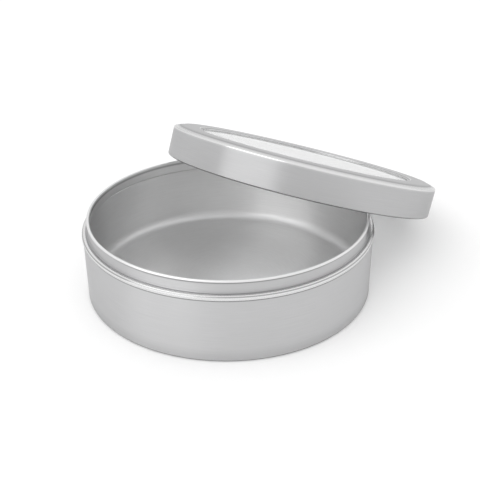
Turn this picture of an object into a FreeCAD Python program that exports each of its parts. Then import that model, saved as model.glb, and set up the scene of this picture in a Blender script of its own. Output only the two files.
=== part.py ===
import FreeCAD, Part
import math
import os

# Round window lid tin in mm, +Z up, tin axis on Z, flat floor of the tin at zero height.
# Front is -Y. The lid is off the tin and leans over the back right of the rim.

# Sheet and clearances
sheet = 0.4
slip_clearance = 1.25
press_clearance = 0.15
floor_clearance = 0.2
rim_clearance = 0.3
join_tolerance = 0.0001

# Tin body
wall_radius = 50.0
wall_height = 22.05
base_round = 0.8
floor_fillet = 3.5
bead_reach = 0.35
bead_rise = 0.3
bead_waist = 0.1
bead_crease_round = 0.15
bead_foot_round = 0.7
bead_top_round = 1.05
groove_dip = 0.55
groove_round = 0.4
neck_inset = 2.14
neck_height = 4.46
neck_taper = 0.45
neck_bend_round = 4.0
collar_height = 1.6
curl_bore = 0.1
curl_tail = 0.02

# Lid shell
lid_height = 12.12
hem_bore = 0.765
hem_tail = 0.1
hem_edge_round = 0.1
corner_drop = 1.0
corner_round = 0.7
slope_width = 3.8
crown_round = 1.5
flat_width = 6.0
step_round = 0.55
step_run = 0.5
step_depth = 0.4
step_foot_round = 0.1
seat_width = 0.7

# Window and its holding ring
window_thickness = 0.4
window_play = 4.5
ring_setback = 0.6
ring_skirt = 2.8
ring_round = 2.2

# Lean of the lid, angles in degrees: tilt, way it slopes down, and way it lies from the tin
lean_angle = 22.05
lean_heading = 50.66
lean_bearing = 56.42

# Values that follow from the sizes above
curl_round = curl_bore + sheet
neck_radius = wall_radius - neck_inset
neck_foot_radius = neck_radius + neck_taper
bead_radius = wall_radius + bead_reach
foot_turn = math.atan2(bead_reach, bead_rise)
top_turn = math.radians(90) + math.atan2(groove_dip, bead_radius - neck_foot_radius)
bead_foot = wall_height + bead_rise
bead_middle = bead_foot + bead_foot_round * math.tan(foot_turn / 2) + bead_waist
bead_top = bead_middle + bead_top_round * math.tan(top_turn / 2)
groove_height = bead_top - groove_dip
tin_height = groove_height + neck_height
rim_centre_radius = neck_radius + curl_bore
rim_centre_height = tin_height - curl_round
rim_radius = rim_centre_radius + curl_round
hem_round = hem_bore + sheet
lid_edge_round = hem_edge_round + sheet
hem_centre_radius = rim_radius + slip_clearance + hem_round
lid_radius = hem_centre_radius + hem_round
skirt_radius = lid_radius - sheet
crown_radius = lid_radius - slope_width
step_radius = crown_radius - flat_width
opening_radius = step_radius - step_run - seat_width
window_top = lid_height - step_depth - sheet
window_radius = skirt_radius - window_play
ring_top = window_top - window_thickness
ring_radius = skirt_radius - press_clearance
ring_inner_radius = opening_radius + ring_setback


def turn_point(before, corner, after, radius):
    """Give the start, middle and end of the arc that rounds one corner of a path."""
    to_before = (before - corner).normalize()
    to_after = (after - corner).normalize()
    half = to_before.getAngle(to_after) / 2
    reach = radius / math.tan(half)
    middle_way = (to_before + to_after).normalize()
    centre = corner + middle_way * (radius / math.sin(half))
    return corner + to_before * reach, centre - middle_way * radius, corner + to_after * reach


def path_edges(corners):
    """Join (radius, height, rounding) corners into the edges of one open path in the XZ plane."""
    points = [FreeCAD.Vector(corner[0], 0, corner[1]) for corner in corners]
    edges = []
    at = points[0]
    for index in range(1, len(points) - 1):
        before, corner, after = points[index - 1:index + 2]
        start, middle, end = turn_point(before, corner, after, corners[index][2])
        if (start - at).Length > join_tolerance:
            edges.append(Part.LineSegment(at, start).toShape())
        edges.append(Part.Arc(start, middle, end).toShape())
        at = end
    edges.append(Part.LineSegment(at, points[-1]).toShape())
    return edges


def other_face(corners, side):
    """Give the same path one sheet thickness away, to its left (1) or right (-1).

    A corner with a fourth value gets that as its rounding on this face.
    """
    points = [FreeCAD.Vector(corner[0], 0, corner[1]) for corner in corners]
    ways = [(points[index + 1] - points[index]).normalize() for index in range(len(points) - 1)]
    normals = [FreeCAD.Vector(-way.z, 0, way.x) * side for way in ways]
    moved = []
    for index, point in enumerate(points):
        first = normals[max(index - 1, 0)]
        second = normals[min(index, len(normals) - 1)]
        shifted = point + (first + second) * (sheet / (1 + first.dot(second)))
        rounding = corners[index][2]
        if rounding > 0:
            turns_to_side = ways[index].dot(first) > 0
            rounding = rounding - sheet if turns_to_side else rounding + sheet
        if len(corners[index]) > 3:
            rounding = corners[index][3]
        moved.append((shifted.x, shifted.z, rounding))
    return moved


def spin(face):
    """Turn a section in the XZ plane once round the Z axis."""
    return face.revolve(FreeCAD.Vector(0, 0, 0), FreeCAD.Vector(0, 0, 1), 360)


def spin_sheet(corners, side):
    """Give a path the sheet thickness on one side and turn it round the Z axis."""
    outer = path_edges(corners)
    inner = path_edges(other_face(corners, side))
    first_cap = Part.LineSegment(outer[0].firstVertex().Point, inner[0].firstVertex().Point).toShape()
    last_cap = Part.LineSegment(outer[-1].lastVertex().Point, inner[-1].lastVertex().Point).toShape()
    ordered = Part.sortEdges(outer + inner + [first_cap, last_cap])[0]
    return spin(Part.Face(Part.Wire(ordered)))


def spin_block(inner, outer, low, high):
    """Turn a plain rectangle round the Z axis."""
    corners = [
        FreeCAD.Vector(inner, 0, low),
        FreeCAD.Vector(outer, 0, low),
        FreeCAD.Vector(outer, 0, high),
        FreeCAD.Vector(inner, 0, high),
        FreeCAD.Vector(inner, 0, low),
    ]
    return spin(Part.Face(Part.makePolygon(corners)))


def make_tin_body():
    """Floor, wall, shoulder bead, narrowing neck and outward curled rim as one drawn sheet."""
    curl_top = tin_height - sheet
    curl_low = curl_top - curl_bore - curl_bore
    curl_out = neck_radius + curl_bore + curl_bore
    return spin_sheet(
        [
            (0, 0, 0),
            (wall_radius, 0, base_round, floor_fillet),
            (wall_radius, wall_height, bead_crease_round),
            (bead_radius, bead_foot, bead_foot_round),
            (bead_radius, bead_top, bead_top_round),
            (neck_foot_radius, groove_height, groove_round),
            (neck_radius, tin_height - collar_height, neck_bend_round),
            (neck_radius, curl_top, curl_bore),
            (curl_out, curl_top, curl_bore),
            (curl_out, curl_low, curl_bore),
            (neck_radius + curl_bore - curl_tail, curl_low, 0),
        ],
        1,
    )


def make_lid_shell():
    """Inward curled edge, skirt, sloped shoulder, flat ring and step to the opening as one sheet."""
    hem_low = sheet
    hem_high = hem_low + hem_bore + hem_bore
    hem_in = skirt_radius - hem_bore - hem_bore
    under = lid_height - sheet
    window_seat = under - step_depth
    return spin_sheet(
        [
            (skirt_radius - hem_bore + hem_tail, hem_high, 0),
            (hem_in, hem_high, hem_bore),
            (hem_in, hem_low, hem_bore),
            (skirt_radius, hem_low, hem_edge_round),
            (skirt_radius, under - corner_drop, corner_round - sheet),
            (crown_radius, under, crown_round - sheet),
            (step_radius, under, step_round - sheet),
            (step_radius - step_run, window_seat, step_foot_round + sheet),
            (opening_radius, window_seat, 0),
        ],
        -1,
    )


def make_window_disc():
    """Clear disc that lies under the step of the lid."""
    return spin_block(0, window_radius, window_top - window_thickness, window_top)


def make_window_ring():
    """Pressed ring that holds the disc up, with a short skirt against the inside of the lid."""
    return spin_sheet(
        [
            (ring_inner_radius, ring_top, 0),
            (ring_radius, ring_top, ring_round),
            (ring_radius, ring_top - ring_skirt, 0),
        ],
        -1,
    )


def lid_place(reach):
    """Give the centre of the lid's edge plane at a reach from the tin axis, low edge over the floor."""
    tilt = math.radians(lean_angle)
    bearing = math.radians(lean_bearing)
    edge_radius = lid_radius - lid_edge_round
    height = edge_radius * math.sin(tilt) - lid_edge_round * math.cos(tilt) + lid_edge_round
    return FreeCAD.Vector(reach * math.cos(bearing), reach * math.sin(bearing), height + floor_clearance)


def leaned(shape, place):
    """Tilt a shape made upright on the Z axis, turn it to its heading and move it to its place."""
    placed = shape.copy()
    placed.rotate(FreeCAD.Vector(0, 0, 0), FreeCAD.Vector(0, 1, 0), lean_angle)
    placed.rotate(FreeCAD.Vector(0, 0, 0), FreeCAD.Vector(0, 0, 1), lean_heading)
    placed.translate(place)
    return placed


def rim_gap(reach):
    """Measure the gap between the lid's curled edge and the tin's curled rim, both as round rings."""
    centre = FreeCAD.Vector(0, 0, hem_round)
    up = FreeCAD.Vector(0, 0, 1)
    hem_ring = leaned(Part.makeCircle(hem_centre_radius, centre, up), lid_place(reach))
    rim_centre = FreeCAD.Vector(0, 0, rim_centre_height)
    rim_ring = Part.makeCircle(rim_centre_radius, rim_centre, up)
    return hem_ring.distToShape(rim_ring)[0] - hem_round - curl_round


def lid_reach():
    """Find how far out the lid lies when its edge just clears the rim: further in, it would cut it."""
    near = 0
    far = wall_radius + lid_radius
    while far - near > join_tolerance:
        middle = (near + far) / 2
        if rim_gap(middle) > rim_clearance:
            far = middle
        else:
            near = middle
    return far


place = lid_place(lid_reach())

pieces = {
    "tin_body": make_tin_body(),
    "lid_shell": leaned(make_lid_shell(), place),
    "window_disc": leaned(make_window_disc(), place),
    "window_ring": leaned(make_window_ring(), place),
}

os.makedirs("parts", exist_ok=True)
for name, shape in pieces.items():
    shape.exportStep("parts/" + name + ".step")
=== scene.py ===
"""Window lid tin: a shallow drawn tin with a curled rim, and a loose window lid that leans on it.

Section sizes are in mm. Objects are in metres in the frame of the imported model: +Z up, tin axis on Z,
-Y to the front.
"""
import logging
import math
from dataclasses import dataclass
from enum import Enum
from typing import Any, Union

import bmesh
import bpy
import numpy as np
from mathutils import Matrix, Vector


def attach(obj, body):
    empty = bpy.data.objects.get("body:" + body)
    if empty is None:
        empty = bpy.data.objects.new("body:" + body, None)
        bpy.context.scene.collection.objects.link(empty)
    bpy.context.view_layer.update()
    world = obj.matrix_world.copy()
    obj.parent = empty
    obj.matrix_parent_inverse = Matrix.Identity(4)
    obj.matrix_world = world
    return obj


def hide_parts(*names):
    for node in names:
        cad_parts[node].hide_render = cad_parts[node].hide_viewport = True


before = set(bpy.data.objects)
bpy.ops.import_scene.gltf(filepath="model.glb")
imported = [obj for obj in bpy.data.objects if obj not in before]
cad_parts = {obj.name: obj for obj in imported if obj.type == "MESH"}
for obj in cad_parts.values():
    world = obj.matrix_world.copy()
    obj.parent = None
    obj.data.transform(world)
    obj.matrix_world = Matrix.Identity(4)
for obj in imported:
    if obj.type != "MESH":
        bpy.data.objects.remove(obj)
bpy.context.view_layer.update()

Array = np.ndarray
Pair = tuple[float, float]
Triple = tuple[float, float, float]
Colour = Triple
Socket = bpy.types.NodeSocket
Number = Union[float, Socket]
Paint = Union[Colour, Socket]
Lines = tuple["FineLine", ...]

# One millimetre in metres
MM = 0.001
# Even share of two values, full range of a share, and a quarter of a turn
EVENLY = 0.5
FULL: Pair = (0.0, 1.0)
QUARTER_TURN = 0.25
# Points of a path closer than this are one point, in mm, and points of a mesh, in metres
SAME_POINT = 1e-4
MERGE_REACH = 1e-8
# Sharpest turn of a section that is told apart, in 1/mm
SHARPEST_BEND = 2.0
# Width and height of the photograph
PHOTO_PIXELS = 480.0
log = logging.getLogger("window_lid_tin")


class Side(Enum):
    """Side of a path, seen along it, on which the sheet's thickness lies."""

    LEFT = 1.0
    RIGHT = -1.0


class Body(Enum):
    """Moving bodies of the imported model."""

    BASE = "base"
    LID = "lid"


@dataclass(frozen=True)
class Corner:
    """One corner of a sheet's path in its section.

    Args:
        radius: distance from the axis in mm.
        height: height in mm.
        rounding: radius of the bend in mm, zero at a path's ends.
        far_rounding: radius on the sheet's other face, where it isn't one thickness more or less.
    """

    radius: float
    height: float
    rounding: float = 0.0
    far_rounding: float = 0.0


@dataclass(frozen=True)
class Section:
    """A closed or half section of a turned piece.

    Args:
        points: radius and height in mm (n, 2), in order along the section.
        inside: 1 on the face that looks into the tin or the lid, 0 elsewhere (n).
    """

    points: Array
    inside: Array

    def lengths(self) -> Array:
        """Give the length along the section at each point, in mm."""
        steps = np.linalg.norm(np.diff(self.points, axis=0), axis=1)
        return np.concatenate([[0.0], np.cumsum(steps)])

    def mark(self, radius: float, height: float) -> float:
        """Find the length along the section at its point nearest to a place.

        Args:
            radius: the place's distance from the axis in mm.
            height: the place's height in mm.

        Returns:
            Length along the section in mm.
        """
        place = np.array([radius, height])
        start = self.points[:-1]
        way = np.diff(self.points, axis=0)
        size = np.sum(way * way, axis=1)
        share = np.clip(np.sum((place - start) * way, axis=1) / size, 0.0, 1.0)
        off = np.linalg.norm(start + way * share[:, None] - place, axis=1)
        nearest = int(np.argmin(off))
        return float(self.lengths()[nearest] + share[nearest] * math.sqrt(size[nearest]))

    def upright(self) -> Array:
        """Give 1 at points where the section runs along the axis, and 0 where it runs across."""
        run = np.gradient(self.points, axis=0)
        return np.abs(run[:, 1]) / np.linalg.norm(run, axis=1)

    def bend(self) -> Array:
        """Measure how sharply the section turns: over 0 on outer edges, under 0 in creases.

        Returns:
            Turn at each point in 1/mm, evened out with its neighbours (n).
        """
        points = self.points
        ahead = np.roll(points, -1, axis=0)
        before = points - np.roll(points, 1, axis=0)
        after = ahead - points
        cross = before[:, 0] * after[:, 1] - before[:, 1] * after[:, 0]
        angle = np.arctan2(cross, np.sum(before * after, axis=1))
        reach = np.linalg.norm(before, axis=1) + np.linalg.norm(after, axis=1)
        area = np.sum(points[:, 0] * ahead[:, 1] - ahead[:, 0] * points[:, 1])
        turn = np.clip(np.sign(area) * 2.0 * angle / reach, -SHARPEST_BEND, SHARPEST_BEND)
        return (np.roll(turn, 1) + 2.0 * turn + np.roll(turn, -1)) / 4.0


@dataclass(frozen=True)
class SheetPath:
    """A sheet's section: a path of rounded corners with a thickness on one side.

    Args:
        corners: the path's corners in order.
        thickness: sheet thickness in mm.
        side: side of the path that the thickness is on.
        spacing: longest step along a straight run in mm.
        guard: length of the short step next to each bend in mm, which keeps flats flat in the shading.
        bend_step: longest turn between two points of a bend in degrees.
        bend_points: fewest points of a bend.
        shortest_run: length in guards under which a straight run gets no points of its own.
        lip_reach: how far a sheet's free edge stands proud, in half thicknesses.
        lip_points: points of a free edge.
    """

    corners: tuple[Corner, ...]
    thickness: float
    side: Side
    spacing: float = 1.5
    guard: float = 0.05
    bend_step: float = 7.0
    bend_points: int = 4
    shortest_run: float = 6.0
    lip_reach: float = 0.33
    lip_points: int = 7

    def near_face(self) -> tuple[Array, Array]:
        """Give the corners as points (n, 2) and roundings (n)."""
        table = np.array([(corner.radius, corner.height, corner.rounding) for corner in self.corners])
        return table[:, :2], table[:, 2]

    def far_face(self) -> tuple[Array, Array]:
        """Move each run square to itself by the thickness; bends to that side lose it, the others gain it.

        Returns:
            The other face's corner points (n, 2) and roundings (n).
        """
        points, roundings = self.near_face()
        ways = np.diff(points, axis=0)
        ways /= np.linalg.norm(ways, axis=1)[:, None]
        normals = np.stack([-ways[:, 1], ways[:, 0]], 1) * self.side.value
        first = np.concatenate([normals[:1], normals])
        second = np.concatenate([normals, normals[-1:]])
        share = self.thickness / (1.0 + np.sum(first * second, axis=1))
        towards = np.zeros(len(points))
        towards[1:-1] = np.sign(np.sum(ways[1:] * normals[:-1], axis=1))
        bent = np.where(roundings > 0, roundings - self.thickness * towards, 0.0)
        own = np.array([corner.far_rounding for corner in self.corners])
        return points + (first + second) * share[:, None], np.where(own > 0, own, bent)

    def trace(self, points: Array, roundings: Array) -> Array:
        """Follow straight runs, and arcs of each corner's radius that meet the runs without a kink.

        Args:
            points: corner points (n, 2).
            roundings: bend radius at each corner (n).

        Returns:
            Points along the path (m, 2).
        """
        pieces = [points[:1]]
        for before, corner, after, rounding in zip(points[:-2], points[1:-1], points[2:], roundings[1:-1]):
            back = (before - corner) / np.linalg.norm(before - corner)
            on = (after - corner) / np.linalg.norm(after - corner)
            half = 0.5 * math.acos(float(np.clip(back @ on, -1.0, 1.0)))
            middle = (back + on) / np.linalg.norm(back + on)
            centre = corner + middle * rounding / math.sin(half)
            start = corner + back * rounding / math.tan(half)
            turn = math.pi - 2.0 * half
            sign = np.sign(-back[0] * on[1] + back[1] * on[0])
            count = max(self.bend_points, math.ceil(math.degrees(turn) / self.bend_step))
            angles = sign * np.linspace(0.0, turn, count)
            spoke = start - centre
            out = centre[0] + spoke[0] * np.cos(angles) - spoke[1] * np.sin(angles)
            up = centre[1] + spoke[0] * np.sin(angles) + spoke[1] * np.cos(angles)
            pieces += [self.run(pieces[-1][-1], start), np.stack([out, up], axis=1)]
        pieces.append(self.run(pieces[-1][-1], points[-1]))
        pieces.append(points[-1:])
        path = np.concatenate(pieces)
        apart = np.linalg.norm(np.diff(path, axis=0), axis=1) > SAME_POINT
        return path[np.concatenate([[True], apart])]

    def run(self, start: Array, end: Array) -> Array:
        """Give points strictly between two ends of a straight run: evenly spaced, and one guard at each end.

        Args:
            start: first end (2).
            end: last end (2).

        Returns:
            Points (k, 2), none where the run is very short.
        """
        length = float(np.linalg.norm(end - start))
        if length < self.shortest_run * self.guard:
            return np.empty((0, 2))
        inner = np.linspace(0.0, 1.0, math.ceil(length / self.spacing) + 1)[1:-1]
        shares = np.concatenate([[self.guard / length], inner, [1.0 - self.guard / length]])
        return start + (end - start) * shares[:, None]

    def section(self, from_axis: bool, near_inside: bool) -> Section:
        """Join both faces through a rounded sheet edge at the path's end, and at its start if that is free.

        Args:
            from_axis: True where the path starts on the axis, and has no free edge there.
            near_inside: True where the path itself runs on the inside face.

        Returns:
            The section, once round the sheet.
        """
        near = self.trace(*self.near_face())
        far = self.trace(*self.far_face())
        outline = [near, self.lip(near[-1], far[-1])[1:-1], far[::-1]]
        flags = [float(near_inside), float(near_inside), float(not near_inside)]
        if not from_axis:
            outline.append(self.lip(far[0], near[0])[1:-1])
            flags.append(float(near_inside))
        inside = np.concatenate([np.full(len(part), flag) for part, flag in zip(outline, flags)])
        return Section(np.concatenate(outline), inside)

    def lip(self, start: Array, end: Array) -> Array:
        """Round off a free edge with a half ellipse from one face's end to the other's.

        Args:
            start: end of the first face (2).
            end: end of the other face (2).

        Returns:
            Points with both ends (k, 2).
        """
        middle = (start + end) / 2.0
        arm = (start - end) / 2.0
        ahead = np.array([-arm[1], arm[0]]) * self.side.value * self.lip_reach
        angles = np.linspace(0.0, math.pi, self.lip_points)[:, None]
        return middle + arm * np.cos(angles) + ahead * np.sin(angles)


@dataclass(frozen=True)
class Lathe:
    """A section turned once round the Z axis.

    Args:
        section: the section to turn.
        closed: True for a ring section, False for one that starts and ends on the axis.
        segments: steps round the axis.
    """

    section: Section
    closed: bool
    segments: int = 288

    @property
    def angles(self) -> Array:
        """Angle of each step round the axis."""
        return np.arange(self.segments) * (2.0 * math.pi / self.segments)

    @property
    def shape(self) -> tuple[int, int]:
        """Number of section points and of steps round the axis."""
        return len(self.section.points), self.segments

    def build(self, name: str, place: Matrix) -> bpy.types.Object:
        """Make the turned surface, smooth and closed, with the attributes that its finish reads.

        Args:
            name: object name.
            place: where the axis goes, in metres.

        Returns:
            The new object, at the origin, with its place in its mesh.
        """
        turn = np.array(place.to_3x3()).T
        mesh = bpy.data.meshes.new(name)
        mesh.from_pydata(self.surface() @ turn + np.array(place.translation), [], self.faces())
        self.mark_points(mesh, turn)
        mesh.polygons.foreach_set("use_smooth", np.ones(len(mesh.polygons), bool))
        self.close(mesh)
        obj = bpy.data.objects.new(name, mesh)
        bpy.context.scene.collection.objects.link(obj)
        return obj

    def surface(self) -> Array:
        """Place the points: x = r cos a, y = r sin a, z = h, for each section point and each angle a.

        Returns:
            Points in metres, all angles of one section point after another (n, 3).
        """
        radius = self.section.points[:, :1] * MM
        height = np.broadcast_to(self.section.points[:, 1:] * MM, self.shape)
        grid = np.stack([radius * np.cos(self.angles), radius * np.sin(self.angles), height], axis=-1)
        return grid.reshape(-1, 3)

    def faces(self) -> Array:
        """Join each point to the next one round the axis and the next one along the section.

        Returns:
            Point numbers of the four-sided faces (m, 4).
        """
        index = np.arange(math.prod(self.shape)).reshape(self.shape)
        first = index if self.closed else index[:-1]
        second = np.roll(index, -1, axis=0) if self.closed else index[1:]
        quads = [first, np.roll(first, -1, axis=1), np.roll(second, -1, axis=1), second]
        return np.stack(quads, axis=-1).reshape(-1, 4)

    def mark_points(self, mesh: bpy.types.Mesh, turn: Array) -> None:
        """Keep five attributes of each point for the finish.

        They are spun, with cos a, sin a and the length along the section in mm; round, the way round the
        axis; bend, how sharply the section turns; upright, 1 where the section runs along the axis and 0
        where it runs across; and inside, 1 on the inner face.

        Args:
            mesh: mesh that gets them.
            turn: matrix that turns a row of coordinates from the upright piece to its place (3, 3).
        """
        cosine = np.cos(self.angles)
        sine = np.sin(self.angles)
        columns = [cosine[None, :], sine[None, :], self.section.lengths()[:, None]]
        spun = np.stack([np.broadcast_to(column, self.shape) for column in columns], axis=-1)
        way = np.stack([-sine, cosine, np.zeros_like(sine)], axis=-1) @ turn
        self.attach(mesh, "spun", spun)
        self.attach(mesh, "round", np.broadcast_to(way, (*self.shape, 3)))
        section = self.section
        single = {"bend": section.bend(), "upright": section.upright(), "inside": section.inside}
        for name, values in single.items():
            self.attach(mesh, name, np.broadcast_to(values[:, None], self.shape))

    @staticmethod
    def attach(mesh: bpy.types.Mesh, name: str, values: Array) -> None:
        """Store one number or one vector per point as a named attribute.

        Args:
            mesh: mesh that gets it.
            name: attribute name.
            values: the values, by section point and angle, with a third axis for vectors.
        """
        kind, key = ("FLOAT_VECTOR", "vector") if values.ndim == 3 else ("FLOAT", "value")
        data = mesh.attributes.new(name, kind, "POINT").data
        data.foreach_set(key, np.ascontiguousarray(values, dtype=np.float32).ravel())

    @staticmethod
    def close(mesh: bpy.types.Mesh) -> None:
        """Merge the points that meet on the axis and turn all faces outwards.

        Args:
            mesh: mesh that is changed.
        """
        work = bmesh.new()
        work.from_mesh(mesh)
        bmesh.ops.remove_doubles(work, verts=work.verts, dist=MERGE_REACH)
        bmesh.ops.dissolve_degenerate(work, edges=work.edges, dist=MERGE_REACH)
        bmesh.ops.recalc_face_normals(work, faces=work.faces)
        work.to_mesh(mesh)
        work.free()
        mesh.update()


class NodeBench:
    """Adds nodes to one node tree and links them."""

    def __init__(self, tree: bpy.types.NodeTree) -> None:
        """Take a tree and clear it."""
        self.tree = tree
        tree.nodes.clear()

    def add(self, kind: str, inputs: dict[Any, Any] | None = None, **settings: Any) -> bpy.types.Node:
        """Add a node.

        Args:
            kind: node type name.
            inputs: values or sockets for the node's inputs, by name or number.
            settings: properties of the node.

        Returns:
            The new node.
        """
        node = self.tree.nodes.new(kind)
        for key, value in settings.items():
            setattr(node, key, value)
        for key, value in (inputs or {}).items():
            if isinstance(value, Socket):
                self.tree.links.new(value, node.inputs[key])
            else:
                node.inputs[key].default_value = value
        return node

    def attribute(self, name: str, output: str = "Fac") -> Socket:
        """Read one of the piece's own attributes."""
        return self.add("ShaderNodeAttribute", attribute_name=name).outputs[output]

    def mix(self, share: Number, low: Paint, high: Paint, way: str = "MIX") -> Socket:
        """Blend two colours.

        Args:
            share: share of the second colour, from 0 to 1.
            low: first colour.
            high: second colour.
            way: how the second colour acts on the first.

        Returns:
            The blended colour.
        """
        ends = [(*end, 1.0) if isinstance(end, tuple) else end for end in (low, high)]
        inputs = {0: share, 6: ends[0], 7: ends[1]}
        return self.add("ShaderNodeMix", inputs, data_type="RGBA", blend_type=way).outputs[2]

    def blend(self, share: Number, low: Number, high: Number) -> Socket:
        """Blend two numbers by a share from 0 to 1."""
        return self.add("ShaderNodeMix", {0: share, 2: low, 3: high}).outputs[0]

    def span(self, value: Number, source: Pair, target: Pair) -> Socket:
        """Map a value from one range to another with soft ends, and hold it there."""
        inputs = {"Value": value, 1: source[0], 2: source[1], 3: target[0], 4: target[1]}
        return self.add("ShaderNodeMapRange", inputs, interpolation_type="SMOOTHSTEP").outputs["Result"]

    def maths(self, operation: str, first: Number, second: Number = 0.0) -> Socket:
        """Combine two numbers, or change one."""
        return self.add("ShaderNodeMath", {0: first, 1: second}, operation=operation).outputs[0]

    def noise(self, vector: Socket, scale: Triple, detail: float) -> Socket:
        """Add smooth noise on scaled coordinates.

        Args:
            vector: the coordinates.
            scale: what they are multiplied by.
            detail: number of finer layers.

        Returns:
            The noise, from 0 to 1.
        """
        mapped = self.add("ShaderNodeMapping", {"Vector": vector, "Scale": scale}).outputs["Vector"]
        inputs = {"Vector": mapped, "Scale": 1.0, "Detail": detail}
        return self.add("ShaderNodeTexNoise", inputs).outputs["Fac"]

    def seen(self) -> Socket:
        """Tell rays that show a surface from rays that only light one.

        Returns:
            1 for rays of the camera, of reflections and through clear pieces, 0 for other rays.
        """
        rays = self.add("ShaderNodeLightPath").outputs
        straight = self.maths("MAXIMUM", rays["Is Camera Ray"], rays["Is Glossy Ray"])
        return self.maths("MAXIMUM", straight, rays["Is Transmission Ray"])


@dataclass(frozen=True)
class FineLine:
    """A line round a piece: painted shade where shade falls in a crease or under a form, or a painted
    highlight where a form stands out.

    Args:
        at: length along the section in mm.
        width: half width in mm.
        depth: share of the painted shade or highlight colour in its middle.
    """

    at: float
    width: float
    depth: float


@dataclass(frozen=True)
class SatinMetal:
    """Satin drawn sheet: lines round the axis, fine grain, cloudy gloss, glossier edges with a painted
    highlight, a painted lighter inner face and painted shade in creases.

    Args:
        name: material name.
        tone: colour of the plain sheet outside.
        painted_inner_light: lighter colour painted on the inner face, as painted light inside the tin and
            lid.
        shade: share of its colour that the sheet keeps in darker lines and clouds.
        polish_highlight: lighter colour of the glossier edges, a painted highlight.
        painted_shade: dark colour painted into creases and under forms, where shade falls.
        glance: tint of reflections at a glancing angle.
        gloss: roughness of the plain sheet.
        gloss_swing: least and most that clouds add to that roughness.
        edge_gloss: roughness of the glossier edges.
        edge_bend: bend in 1/mm at which an edge starts to get its gloss and painted highlight, and at which
            it has them fully.
        inner_edge: share of that gloss and painted highlight that edges on the inner face get.
        grain: depth of the grain and lines in metres.
        grain_strength: how strongly they show, from 0 to 1.
        streak: how far the lines draw a reflection out across them on upright walls, from 0 to 1.
        line_scale: density of the lines round the axis and along the section, per unit of spun.
        cloud_scale: density of the clouds per metre.
        speckle_scale: density of the grain per metre.
        worn: range of the mixed lines and clouds over which the sheet goes from dark to plain.
        cloud_grain: share of the grain in the clouds of the gloss.
        cloud_range: range of those clouds that swings the gloss.
    """

    name: str
    tone: Colour = (0.62, 0.62, 0.625)
    painted_inner_light: Colour = (0.87, 0.87, 0.87)
    shade: float = 0.94
    polish_highlight: Colour = (0.76, 0.76, 0.76)
    painted_shade: Colour = (0.10, 0.10, 0.105)
    glance: Colour = (0.75, 0.75, 0.75)
    gloss: float = 0.4
    gloss_swing: Pair = (-0.04, 0.05)
    edge_gloss: float = 0.2
    edge_bend: Pair = (0.5, 1.0)
    inner_edge: float = 0.2
    grain: float = 0.000008
    grain_strength: float = 0.5
    streak: float = 0.95
    line_scale: Triple = (5.0, 5.0, 6.0)
    cloud_scale: Triple = (38.0, 38.0, 38.0)
    speckle_scale: Triple = (3500.0, 3500.0, 3500.0)
    worn: Pair = (0.38, 0.62)
    cloud_grain: float = 0.35
    cloud_range: Pair = (0.3, 0.7)

    def material(self, shade_lines: Lines, highlight_lines: Lines = ()) -> bpy.types.Material:
        """Make the material from the piece's own spun, round, bend, upright and inside attributes.

        Args:
            shade_lines: the piece's lines of painted shade.
            highlight_lines: its lines of painted highlight, beside the edges that its bend attribute makes
                glossier and lighter.

        Returns:
            The material.
        """
        material = bpy.data.materials.new(self.name)
        material.use_nodes = True
        bench = NodeBench(material.node_tree)
        spun = bench.attribute("spun", "Vector")
        place = bench.add("ShaderNodeTexCoord").outputs["Object"]
        drawn = bench.noise(spun, self.line_scale, detail=3.0)
        speckle = bench.noise(place, self.speckle_scale, detail=2.0)
        cloud = bench.noise(place, self.cloud_scale, detail=4.0)
        # Sharp edges and highlight lines get a lower roughness and a lighter colour; the lighter colour is a
        # painted highlight.
        bright = bench.maths("MAXIMUM", self.edge(bench), self.lined(bench, spun, highlight_lines))
        highlighted = bench.mix(bright, self.sheet(bench, drawn, cloud), self.polish_highlight)
        swing = (self.gloss + self.gloss_swing[0], self.gloss + self.gloss_swing[1])
        clouded = bench.span(bench.blend(self.cloud_grain, cloud, speckle), self.cloud_range, swing)
        relief = bench.blend(EVENLY, drawn, speckle)
        bump_inputs = {"Strength": self.grain_strength, "Distance": self.grain, "Height": relief}
        shader = bench.add(
            "ShaderNodeBsdfPrincipled",
            {
                # The shade lines darken the colour with painted shade.
                "Base Color": bench.mix(self.lined(bench, spun, shade_lines), highlighted, self.painted_shade),
                "Metallic": 1.0,
                "Roughness": bench.blend(bright, clouded, self.edge_gloss),
                "Specular Tint": (*self.glance, 1.0),
                "Normal": bench.add("ShaderNodeBump", bump_inputs).outputs["Normal"],
                "Tangent": bench.attribute("round", "Vector"),
                "Anisotropic": bench.maths("MULTIPLY", bench.attribute("upright"), self.streak),
                "Anisotropic Rotation": QUARTER_TURN,
            },
        )
        bench.add("ShaderNodeOutputMaterial", {"Surface": shader.outputs["BSDF"]})
        return material

    def edge(self, bench: NodeBench) -> Socket:
        """Find the sharp outer edges, which get less gloss and painted highlight on the inner face.

        Args:
            bench: the material's nodes.

        Returns:
            Share of the edge gloss and painted highlight.
        """
        sharp = bench.span(bench.attribute("bend"), self.edge_bend, FULL)
        kept = bench.span(bench.attribute("inside"), FULL, (1.0, self.inner_edge))
        return bench.maths("MULTIPLY", sharp, kept)

    def sheet(self, bench: NodeBench, drawn: Socket, cloud: Socket) -> Socket:
        """Colour the plain sheet by its face, with the inner face painted lighter as painted light, darker
        in some lines and clouds.

        Args:
            bench: the material's nodes.
            drawn: the lines round the axis.
            cloud: the clouds.

        Returns:
            The colour.
        """
        # The inner face is painted lighter than the outside: painted light.
        plain = bench.mix(bench.attribute("inside"), self.tone, self.painted_inner_light)
        worn = bench.span(bench.blend(EVENLY, drawn, cloud), self.worn, FULL)
        tint = bench.mix(worn, (self.shade, self.shade, self.shade), (1.0, 1.0, 1.0))
        return bench.mix(1.0, plain, tint, "MULTIPLY")

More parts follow.
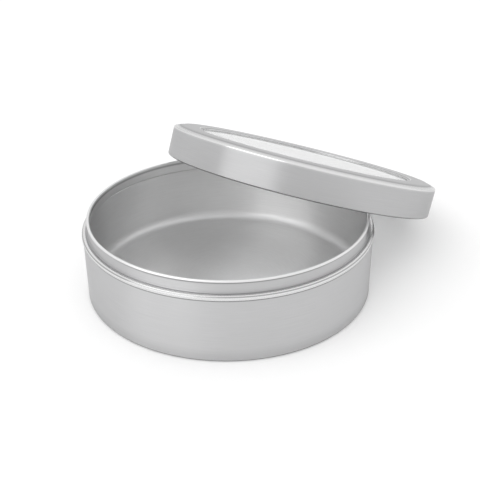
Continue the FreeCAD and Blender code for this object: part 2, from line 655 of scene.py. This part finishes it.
    @staticmethod
    def lined(bench: NodeBench, spun: Socket, lines: Lines) -> Number:
        """Add lines that fall off to both sides of their place along the section.

        Args:
            bench: the material's nodes.
            spun: the piece's spun attribute.
            lines: the lines.

        Returns:
            Share of their colour, zero where there are no lines.
        """
        along = bench.add("ShaderNodeSeparateXYZ", {0: spun}).outputs["Z"]
        total: Number = 0.0
        for line in lines:
            off = bench.maths("ABSOLUTE", bench.maths("SUBTRACT", along, line.at))
            band = bench.span(off, (0.0, line.width), (line.depth, 0.0))
            total = bench.maths("MAXIMUM", total, band)
        return total


@dataclass(frozen=True)
class ClearPlastic:
    """Clear sheet with a faint ripple and cloudy gloss.

    Args:
        name: material name.
        tint: colour of the light that passes.
        haze_tint: the same in hazy patches.
        gloss: roughness of the sheet.
        gloss_swing: least and most of that roughness that haze leaves, as factors.
        haze_range: range of the haze that swings the gloss.
        haze_scale: density of the haze per metre.
        ripple: depth of the ripple in metres.
        ripple_strength: how strongly it shows, from 0 to 1.
        ripple_scale: density of the ripple per metre.
        refraction: index of refraction.
    """

    name: str
    tint: Colour = (0.94, 0.945, 0.95)
    haze_tint: Colour = (0.92, 0.925, 0.93)
    gloss: float = 0.05
    gloss_swing: Pair = (0.6, 1.6)
    haze_range: Pair = (0.35, 0.7)
    haze_scale: Triple = (160.0, 160.0, 160.0)
    ripple: float = 0.00004
    ripple_strength: float = 0.4
    ripple_scale: Triple = (35.0, 35.0, 35.0)
    refraction: float = 1.5

    def material(self) -> bpy.types.Material:
        """Make the material on object coordinates.

        Returns:
            The material.
        """
        material = bpy.data.materials.new(self.name)
        material.use_nodes = True
        bench = NodeBench(material.node_tree)
        place = bench.add("ShaderNodeTexCoord").outputs["Object"]
        wave = bench.noise(place, self.ripple_scale, detail=2.0)
        haze = bench.noise(place, self.haze_scale, detail=4.0)
        swing = (self.gloss * self.gloss_swing[0], self.gloss * self.gloss_swing[1])
        bump_inputs = {"Strength": self.ripple_strength, "Distance": self.ripple, "Height": wave}
        shader = bench.add(
            "ShaderNodeBsdfPrincipled",
            {
                "Base Color": bench.mix(haze, self.tint, self.haze_tint),
                "Roughness": bench.span(haze, self.haze_range, swing),
                "Normal": bench.add("ShaderNodeBump", bump_inputs).outputs["Normal"],
                "IOR": self.refraction,
                "Transmission Weight": 1.0,
            },
        )
        bench.add("ShaderNodeOutputMaterial", {"Surface": shader.outputs["BSDF"]})
        return material


def dress(obj: bpy.types.Object, material: bpy.types.Material, body: Body, node: str) -> None:
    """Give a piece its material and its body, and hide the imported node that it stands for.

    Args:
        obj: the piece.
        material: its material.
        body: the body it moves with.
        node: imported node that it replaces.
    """
    obj.data.materials.append(material)
    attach(obj, body.value)
    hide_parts(node)
    log.info("%s rides on %s with %d faces", obj.name, body.value, len(obj.data.polygons))


@dataclass
class TinBody:
    """The drawn base: floor, wall, round bead, neck and outward curled rim in one sheet.

    Sizes are in mm. The painted shade line on the bead lies at an angle up from level round its upper bend,
    in degrees, and the one inside the neck a drop below the rim.
    """

    sheet: float = 0.4
    wall_radius: float = 50.0
    wall_height: float = 22.05
    base_round: float = 0.8
    floor_fillet: float = 3.5
    bead_reach: float = 0.35
    bead_rise: float = 0.3
    bead_waist: float = 0.1
    crease_round: float = 0.15
    bead_foot_round: float = 0.7
    bead_top_round: float = 1.05
    groove_dip: float = 0.55
    groove_round: float = 0.4
    neck_inset: float = 2.14
    neck_height: float = 4.46
    neck_taper: float = 0.45
    neck_bend_round: float = 4.0
    collar_height: float = 1.6
    curl_bore: float = 0.1
    curl_tail: float = 0.02
    bead_line_angle: float = 40.0
    rim_line_drop: float = 1.2
    finish: SatinMetal = SatinMetal("tin_satin")

    @property
    def neck(self) -> float:
        """Outer radius of the neck below the curl."""
        return self.wall_radius - self.neck_inset

    @property
    def neck_foot(self) -> float:
        """Outer radius of the foot of the neck."""
        return self.neck + self.neck_taper

    @property
    def bead(self) -> float:
        """Outer radius of the bead."""
        return self.wall_radius + self.bead_reach

    @property
    def bead_middle(self) -> float:
        """Height at which the bead's upper bend starts: rise, lower bend and waist added to the wall."""
        bend = self.bead_foot_round * math.tan(math.atan2(self.bead_reach, self.bead_rise) / 2.0)
        return self.wall_height + self.bead_rise + bend + self.bead_waist

    @property
    def bead_top(self) -> float:
        """Height of the corner that the bead's upper bend rounds."""
        turn = math.pi / 2.0 + math.atan2(self.groove_dip, self.bead - self.neck_foot)
        return self.bead_middle + self.bead_top_round * math.tan(turn / 2.0)

    @property
    def groove(self) -> float:
        """Height of the groove at the foot of the neck."""
        return self.bead_top - self.groove_dip

    @property
    def height(self) -> float:
        """Height of the rim."""
        return self.groove + self.neck_height

    def path(self) -> SheetPath:
        """Lay out the outer face from the floor's centre to the end of the curl.

        Returns:
            The sheet.
        """
        curl_top = self.height - self.sheet
        curl_low = curl_top - 2.0 * self.curl_bore
        curl_out = self.neck + 2.0 * self.curl_bore
        corners = (
            Corner(0.0, 0.0),
            Corner(self.wall_radius, 0.0, self.base_round, self.floor_fillet),
            Corner(self.wall_radius, self.wall_height, self.crease_round),
            Corner(self.bead, self.wall_height + self.bead_rise, self.bead_foot_round),
            Corner(self.bead, self.bead_top, self.bead_top_round),
            Corner(self.neck_foot, self.groove, self.groove_round),
            Corner(self.neck, self.height - self.collar_height, self.neck_bend_round),
            Corner(self.neck, curl_top, self.curl_bore),
            Corner(curl_out, curl_top, self.curl_bore),
            Corner(curl_out, curl_low, self.curl_bore),
            Corner(self.neck + self.curl_bore - self.curl_tail, curl_low),
        )
        return SheetPath(corners, self.sheet, Side.LEFT)

    def painted_shade_lines(self, section: Section) -> Lines:
        """Place the lines of painted shade, from the bottom edge up to the inside of the rim.

        They are the bottom edge and a soft shade above it, the crease under the bead, the middle of the
        bead, the groove, the two sides of the curl's foot, and the neck's inner face below the rim.

        Args:
            section: the tin's section.

        Returns:
            The lines.
        """
        angle = math.radians(self.bead_line_angle)
        bead_out = self.bead - self.bead_top_round * (1.0 - math.cos(angle))
        bead_up = self.bead_middle + self.bead_top_round * math.sin(angle)
        curl = self.curl_bore + self.sheet
        curl_out = self.neck + self.curl_bore + curl
        curl_foot = self.height - 2.0 * curl
        inner_neck = self.neck - self.sheet
        return (
            FineLine(section.mark(self.wall_radius, 0.0), width=1.0, depth=0.75),
            FineLine(section.mark(self.wall_radius, self.base_round), width=4.5, depth=0.14),
            FineLine(section.mark(self.wall_radius, self.wall_height), width=0.4, depth=0.7),
            FineLine(section.mark(bead_out, bead_up), width=0.36, depth=0.6),
            FineLine(section.mark(self.neck_foot, self.groove), width=0.5, depth=0.3),
            FineLine(section.mark(self.neck, curl_foot), width=0.5, depth=0.6),
            FineLine(section.mark(curl_out, curl_foot), width=0.5, depth=0.85),
            FineLine(section.mark(inner_neck, self.height - self.rim_line_drop), width=0.7, depth=0.5),
        )

    def build(self) -> None:
        """Turn the section and dress it."""
        section = self.path().section(from_axis=True, near_inside=False)
        obj = Lathe(section, closed=False).build("tin_sheet", Matrix.Identity(4))
        dress(obj, self.finish.material(self.painted_shade_lines(section)), Body.BASE, "tin_body")


@dataclass(frozen=True)
class Lean:
    """Place of the lid: its edge plane's centre in mm, its tilt and the way it slopes down, in degrees."""

    centre: Triple = (26.8133, 40.3879, 19.5855)
    tilt: float = 22.05
    heading: float = 50.66

    def matrix(self) -> Matrix:
        """Turn about Y by the tilt, then about Z by the heading, then move to the centre.

        Returns:
            The place in metres.
        """
        tilt = Matrix.Rotation(math.radians(self.tilt), 4, "Y")
        heading = Matrix.Rotation(math.radians(self.heading), 4, "Z")
        return Matrix.Translation([value * MM for value in self.centre]) @ heading @ tilt


@dataclass
class WindowLid:
    """The slip lid: drawn shell, clear window and the ring that holds it.

    Sizes are in mm, with the lid upright on its edge. The places of the painted shade and painted highlight
    lines on the slope are shares of its width, from its outer edge.
    """

    sheet: float = 0.4
    radius: float = 52.04
    height: float = 12.12
    hem_bore: float = 0.765
    hem_edge_round: float = 0.1
    hem_tail: float = 0.1
    corner_drop: float = 1.0
    corner_round: float = 0.7
    slope_width: float = 3.8
    crown_round: float = 1.5
    flat_width: float = 6.0
    step_round: float = 0.55
    step_run: float = 0.5
    step_depth: float = 0.4
    step_foot_round: float = 0.1
    seat_width: float = 0.7
    window_thickness: float = 0.4
    window_play: float = 4.5
    window_edge: float = 0.12
    window_edge_points: int = 9
    window_rows: int = 24
    window_segments: int = 256
    ring_setback: float = 0.6
    ring_skirt: float = 2.8
    ring_round: float = 2.2
    ring_play: float = 0.15
    slope_shade_share: float = 0.6
    slope_highlight_share: float = 0.2
    lean: Lean = Lean()
    # The lid's outside tone is painted darker than the tin's as painted shade; the ring's inner face is
    # painted lighter still as painted light.
    shell_finish: SatinMetal = SatinMetal("lid_satin", tone=(0.56, 0.56, 0.565))
    ring_finish: SatinMetal = SatinMetal("ring_satin", painted_inner_light=(0.92, 0.92, 0.92))
    window_finish: ClearPlastic = ClearPlastic("window_clear")

    @property
    def skirt(self) -> float:
        """Inner radius of the skirt."""
        return self.radius - self.sheet

    @property
    def step(self) -> float:
        """Radius of the inner edge of the flat ring."""
        return self.radius - self.slope_width - self.flat_width

    @property
    def opening(self) -> float:
        """Radius of the window opening."""
        return self.step - self.step_run - self.seat_width

    @property
    def window_top(self) -> float:
        """Height of the window's upper face, against the underside of its seat."""
        return self.height - self.step_depth - self.sheet

    def shell_path(self) -> SheetPath:
        """Lay out the inner face from the end of the edge curl to the window opening.

        Returns:
            The sheet.
        """
        high = self.sheet + 2.0 * self.hem_bore
        inner = self.skirt - 2.0 * self.hem_bore
        under = self.height - self.sheet
        corners = (
            Corner(self.skirt - self.hem_bore + self.hem_tail, high),
            Corner(inner, high, self.hem_bore),
            Corner(inner, self.sheet, self.hem_bore),
            Corner(self.skirt, self.sheet, self.hem_edge_round),
            Corner(self.skirt, under - self.corner_drop, self.corner_round - self.sheet),
            Corner(self.radius - self.slope_width, under, self.crown_round - self.sheet),
            Corner(self.step, under, self.step_round - self.sheet),
            Corner(self.step - self.step_run, self.window_top, self.step_foot_round + self.sheet),
            Corner(self.opening, self.window_top),
        )
        return SheetPath(corners, self.sheet, Side.RIGHT)

    def painted_shade_lines(self, section: Section) -> Lines:
        """Place the lines of painted shade: the lower edge, the inner part of the slope and the foot of the
        step.

        Args:
            section: the shell's section.

        Returns:
            The lines.
        """
        seat = self.window_top + self.sheet
        return (
            FineLine(section.mark(self.radius, 0.0), width=0.65, depth=0.95),
            FineLine(self.slope_mark(section, self.slope_shade_share), width=0.9, depth=0.3),
            FineLine(section.mark(self.step - self.step_run, seat), width=0.3, depth=0.3),
        )

    def painted_highlight_lines(self, section: Section) -> Lines:
        """Place one broad painted highlight along the outer part of the slope."""
        return (FineLine(self.slope_mark(section, self.slope_highlight_share), width=2.0, depth=1.0),)

    def slope_mark(self, section: Section, share: float) -> float:
        """Give the length along the section at a share of the slope's width, from its outer edge."""
        drop = self.corner_drop * (1.0 - share)
        return section.mark(self.radius - share * self.slope_width, self.height - drop)

    def window_section(self) -> Section:
        """Lay out the disc's half section from the axis below to the axis above, with rounded edges.

        Returns:
            The section.
        """
        top = self.window_top
        low = top - self.window_thickness
        outer = self.skirt - self.window_play
        angles = np.linspace(-math.pi / 2.0, math.pi / 2.0, self.window_edge_points)
        lift = np.where(angles < 0.0, low + self.window_edge, top - self.window_edge)
        edge_out = outer + self.window_edge * (np.cos(angles) - 1.0)
        edge = np.stack([edge_out, lift + self.window_edge * np.sin(angles)], 1)
        across = np.linspace(0.0, outer - 2.0 * self.window_edge, self.window_rows)
        below = np.stack([across, np.full_like(across, low)], 1)
        above = np.stack([across[::-1], np.full_like(across, top)], 1)
        points = np.concatenate([below, edge, above])
        return Section(points, np.zeros(len(points)))

    def ring_path(self) -> SheetPath:
        """Lay out the holding ring's upper face from its inner edge to the foot of its skirt.

        Returns:
            The sheet.
        """
        top = self.window_top - self.window_thickness
        outer = self.skirt - self.ring_play
        corners = (
            Corner(self.opening + self.ring_setback, top),
            Corner(outer, top, self.ring_round),
            Corner(outer, top - self.ring_skirt),
        )
        return SheetPath(corners, self.sheet, Side.RIGHT)

    def build(self) -> None:
        """Turn the three sections about the leaning axis and dress them."""
        place = self.lean.matrix()
        section = self.shell_path().section(from_axis=False, near_inside=True)
        shell = Lathe(section, closed=True).build("lid_sheet", place)
        satin = self.shell_finish.material(self.painted_shade_lines(section), self.painted_highlight_lines(section))
        dress(shell, satin, Body.LID, "lid_shell")
        lathe = Lathe(self.window_section(), closed=False, segments=self.window_segments)
        window = lathe.build("lid_window", place)
        dress(window, self.window_finish.material(), Body.LID, "window_disc")
        section = self.ring_path().section(from_axis=False, near_inside=False)
        ring = Lathe(section, closed=True).build("lid_ring", place)
        dress(ring, self.ring_finish.material(()), Body.LID, "window_ring")


@dataclass
class PhotoCamera:
    """Camera at the photograph's angle.

    The tin's wall radius and the clip distances are in metres, the sensor's width in mm and angles in
    radians. The distance and the aim, to the right and up from the frame's origin, are in wall radii.
    """

    wall_radius: float = 0.05
    elevation: float = 0.49178
    roll: float = -0.00656
    aim: Pair = (0.08052, 0.31446)
    distance: float = 5.64218
    focal_pixels: float = 800.0
    sensor: float = 36.0
    clip: Pair = (0.01, 50.0)

    def build(self) -> None:
        """Place the camera back from its aim along the view and make it the scene's camera."""
        data = bpy.data.cameras.new("photo_camera")
        data.sensor_width = self.sensor
        data.lens = self.focal_pixels / PHOTO_PIXELS * self.sensor
        data.clip_start, data.clip_end = self.clip
        rise = math.sin(self.elevation)
        flat = math.cos(self.elevation)
        right = Vector((1.0, 0.0, 0.0))
        up = Vector((0.0, rise, flat))
        back = Vector((0.0, -flat, rise))
        across = math.cos(self.roll) * right + math.sin(self.roll) * up
        above = math.cos(self.roll) * up - math.sin(self.roll) * right
        eye = (Vector((self.aim[0], 0.0, self.aim[1])) + self.distance * back) * self.wall_radius
        turn = Matrix((across, above, back)).transposed()
        camera = bpy.data.objects.new("photo_camera", data)
        camera.matrix_world = Matrix.Translation(eye) @ turn.to_4x4()
        bpy.context.scene.collection.objects.link(camera)
        bpy.context.scene.camera = camera


@dataclass(frozen=True)
class SoftBox:
    """One square studio lamp, aimed at a point. Lengths in metres.

    Args:
        name: lamp name.
        place: where it hangs.
        aim: the point that it faces.
        size: side of the square.
        power: watts.
    """

    name: str
    place: Triple
    aim: Triple
    size: float
    power: float

    def build(self) -> None:
        """Hang the lamp with its face to the aim."""
        data = bpy.data.lights.new(self.name, "AREA")
        data.shape = "SQUARE"
        data.size = self.size
        data.energy = self.power
        lamp = bpy.data.objects.new(self.name, data)
        away = Vector(self.place) - Vector(self.aim)
        turn = away.to_track_quat("Z", "Y").to_matrix().to_4x4()
        lamp.matrix_world = Matrix.Translation(self.place) @ turn
        bpy.context.scene.collection.objects.link(lamp)


@dataclass
class Studio:
    """Pale floor, soft surroundings and one large lamp.

    The floor's size is in metres. The surroundings go from low to high light where the upward part of a
    direction rises through light_rise.
    """

    floor_size: float = 8.0
    floor_colour: Colour = (0.94, 0.94, 0.94)
    floor_glow: float = 0.09
    low_light: float = 0.9
    high_light: float = 0.95
    light_rise: Pair = (0.1, 0.65)
    boxes: tuple[SoftBox, ...] = (
        SoftBox("key_left_front", place=(-0.76, -0.6, 0.87), aim=(0.0, 0.0, 0.02), size=1.2, power=4.1),
    )

    def build(self) -> None:
        """Set out floor, world and lamps."""
        self.floor()
        self.world()
        for box in self.boxes:
            box.build()

    def floor(self) -> None:
        """Lay a flat square under the tin, with a slight glow where it is seen, so that it looks white."""
        half = self.floor_size / 2.0
        mesh = bpy.data.meshes.new("studio_floor")
        square = [(-half, -half, 0.0), (half, -half, 0.0), (half, half, 0.0), (-half, half, 0.0)]
        mesh.from_pydata(square, [], [(0, 1, 2, 3)])
        obj = bpy.data.objects.new("studio_floor", mesh)
        bpy.context.scene.collection.objects.link(obj)
        material = bpy.data.materials.new("floor_paper")
        material.use_nodes = True
        bench = NodeBench(material.node_tree)
        paper = bench.add("ShaderNodeBsdfDiffuse", {"Color": (*self.floor_colour, 1.0)}).outputs["BSDF"]
        glow_level = bench.maths("MULTIPLY", bench.seen(), self.floor_glow)
        glow = bench.add("ShaderNodeEmission", {"Strength": glow_level})
        lit = bench.add("ShaderNodeAddShader", {0: paper, 1: glow.outputs["Emission"]})
        bench.add("ShaderNodeOutputMaterial", {"Surface": lit.outputs["Shader"]})
        mesh.materials.append(material)

    def world(self) -> None:
        """Surround the scene with light that grows from the horizon up and is white where it is seen."""
        world = bpy.data.worlds.new("studio_world")
        bpy.context.scene.world = world
        world.use_nodes = True
        bench = NodeBench(world.node_tree)
        way = bench.add("ShaderNodeTexCoord").outputs["Generated"]
        height = bench.add("ShaderNodeSeparateXYZ", {0: way}).outputs["Z"]
        around = bench.span(height, self.light_rise, (self.low_light, self.high_light))
        level = bench.maths("MAXIMUM", around, bench.seen())
        light = bench.add("ShaderNodeBackground", {"Color": (1.0, 1.0, 1.0, 1.0), "Strength": level})
        bench.add("ShaderNodeOutputWorld", {"Surface": light.outputs[0]})


def main() -> None:
    """Build the tin, its lid, the studio and the camera."""
    logging.basicConfig(level=logging.INFO, format="%(name)s: %(message)s")
    bpy.context.scene.view_settings.view_transform = "Standard"
    TinBody().build()
    WindowLid().build()
    Studio().build()
    PhotoCamera().build()


if __name__ == "__main__":
    main()
